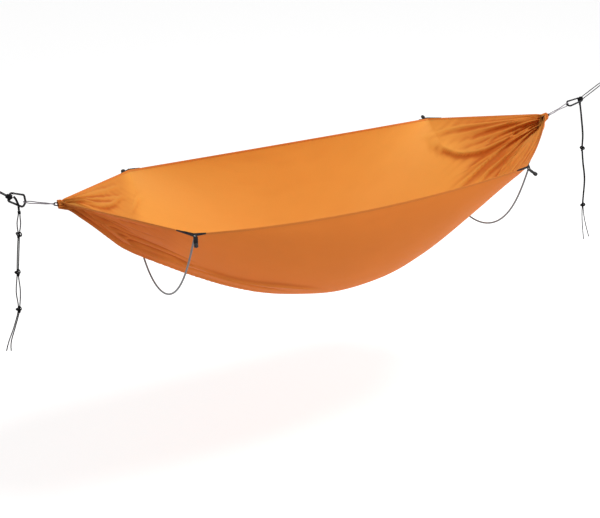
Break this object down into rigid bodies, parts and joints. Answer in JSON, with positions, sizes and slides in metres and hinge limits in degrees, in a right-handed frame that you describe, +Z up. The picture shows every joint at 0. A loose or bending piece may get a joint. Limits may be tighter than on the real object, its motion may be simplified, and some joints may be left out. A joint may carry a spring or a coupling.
{
  "type": "double hammock",
  "caption": "Wide gathered-end cloth hammock held open by bowed poles beneath it, hung by cord loops, snap links and knotted ropes.",
  "frame": {"origin": "bearing point of the left anchor loop, where the loop's far bend rests on what holds it", "axes": "+X from the left anchor loop to the right one, +Z up, -Y towards the front hem"},
  "size_m": [3.2305, 0.9903, 0.9193],
  "materials": {
    "bed_cloth": "thin orange nylon, soft sheen, fine plain weave",
    "webbing": "black woven webbing",
    "black_rope": "black braided rope, matt",
    "channel_cord": "black braided cord, matt",
    "grey_cord": "pale grey braided cord",
    "elastic_cord": "white elastic cord in a woven jacket",
    "carabiner_metal": "black anodised, satin",
    "pole_metal": "dark grey anodised, satin",
    "bare_metal": "bare, brushed by use",
    "black_plastic": "moulded, fine grain"
  },
  "bodies": {
    "anchors": {"left_anchor_loop": "black_rope", "right_anchor_loop": "black_rope"},
    "hammock": {"bed_fabric": "bed_cloth", "left_rope_upper": "black_rope", "left_rope_lower": "black_rope", "left_hitch_knot": "black_rope", "left_tail_lead": "black_rope", "left_carabiner_body": "carabiner_metal", "left_gate_pin": "bare_metal", "left_end_loop": "grey_cord", "left_channel_cord": "channel_cord", "right_rope_upper": "black_rope", "right_rope_lower": "black_rope", "right_hitch_knot": "black_rope", "right_carabiner_body": "carabiner_metal", "right_gate_pin": "bare_metal", "right_end_loop": "grey_cord", "right_channel_cord": "channel_cord", "front_left_tab": "webbing", "front_left_eyelet": "bare_metal", "front_left_pull_strap": "webbing", "front_left_toggle": "black_plastic", "front_right_tab": "webbing", "front_right_eyelet": "bare_metal", "front_right_pull_strap": "webbing", "front_right_toggle": "black_plastic", "back_left_tab": "webbing", "back_left_eyelet": "bare_metal", "back_left_pull_strap": "webbing", "back_left_toggle": "black_plastic", "back_right_tab": "webbing", "back_right_eyelet": "bare_metal", "back_right_pull_strap": "webbing", "back_right_toggle": "black_plastic"},
    "left_gate": {"left_gate": "carabiner_metal", "left_gate_plunger": "bare_metal"},
    "right_gate": {"right_gate": "carabiner_metal", "right_gate_plunger": "bare_metal"},
    "left_pole": {"left_pole_section_1": "pole_metal", "left_pole_section_2": "pole_metal", "left_pole_section_3": "pole_metal", "left_pole_section_4": "pole_metal", "left_pole_ferrule_1": "bare_metal", "left_pole_ferrule_2": "bare_metal", "left_pole_ferrule_3": "bare_metal", "left_pole_shock_cord": "elastic_cord", "front_left_pole_tip": "black_plastic", "back_left_pole_tip": "black_plastic"},
    "right_pole": {"right_pole_section_1": "pole_metal", "right_pole_section_2": "pole_metal", "right_pole_section_3": "pole_metal", "right_pole_section_4": "pole_metal", "right_pole_ferrule_1": "bare_metal", "right_pole_ferrule_2": "bare_metal", "right_pole_ferrule_3": "bare_metal", "right_pole_shock_cord": "elastic_cord", "front_right_pole_tip": "black_plastic", "back_right_pole_tip": "black_plastic"},
    "left_tail": {"left_tail_cord": "black_rope"},
    "right_tail": {"right_tail_cord": "black_rope"}
  },
  "joints": [
    {"name": "hammock_swing", "type": "hinge", "parent": "anchors", "child": "hammock", "pos_m": [0.05772, 0, -0.04429], "axis": [1, 0, 0], "range_deg": [-35, 35]},
    {"name": "left_gate_hinge", "type": "hinge", "parent": "hammock", "child": "left_gate", "pos_m": [0.16614, -0.00779, -0.10289], "axis": [-0.2663, 0.9601, -0.0854], "range_deg": [0, 28], "stiffness_Nm_per_rad": 0.05, "springref_deg": -8.59},
    {"name": "right_gate_hinge", "type": "hinge", "parent": "hammock", "child": "right_gate", "pos_m": [2.97489, 0.00932, -0.12485], "axis": [-0.2753, -0.0992, 0.9562], "range_deg": [0, 28], "stiffness_Nm_per_rad": 0.05, "springref_deg": -8.59},
    {"name": "left_pole_swing", "type": "hinge", "parent": "hammock", "child": "left_pole", "pos_m": [0.76353, 0, -0.24929], "axis": [0, 1, 0], "range_deg": [-20, 32]},
    {"name": "right_pole_swing", "type": "hinge", "parent": "hammock", "child": "right_pole", "pos_m": [2.36354, 0, -0.24929], "axis": [0, 1, 0], "range_deg": [-32, 20]},
    {"name": "left_tail_swing", "type": "hinge", "parent": "hammock", "child": "left_tail", "pos_m": [0.17582, -0.01929, -0.18177], "axis": [0, 1, 0], "range_deg": [-35, 35]},
    {"name": "right_tail_swing", "type": "hinge", "parent": "hammock", "child": "right_tail", "pos_m": [2.98595, -0.01106, -0.14533], "axis": [0, 1, 0], "range_deg": [-35, 35]}
  ]
}
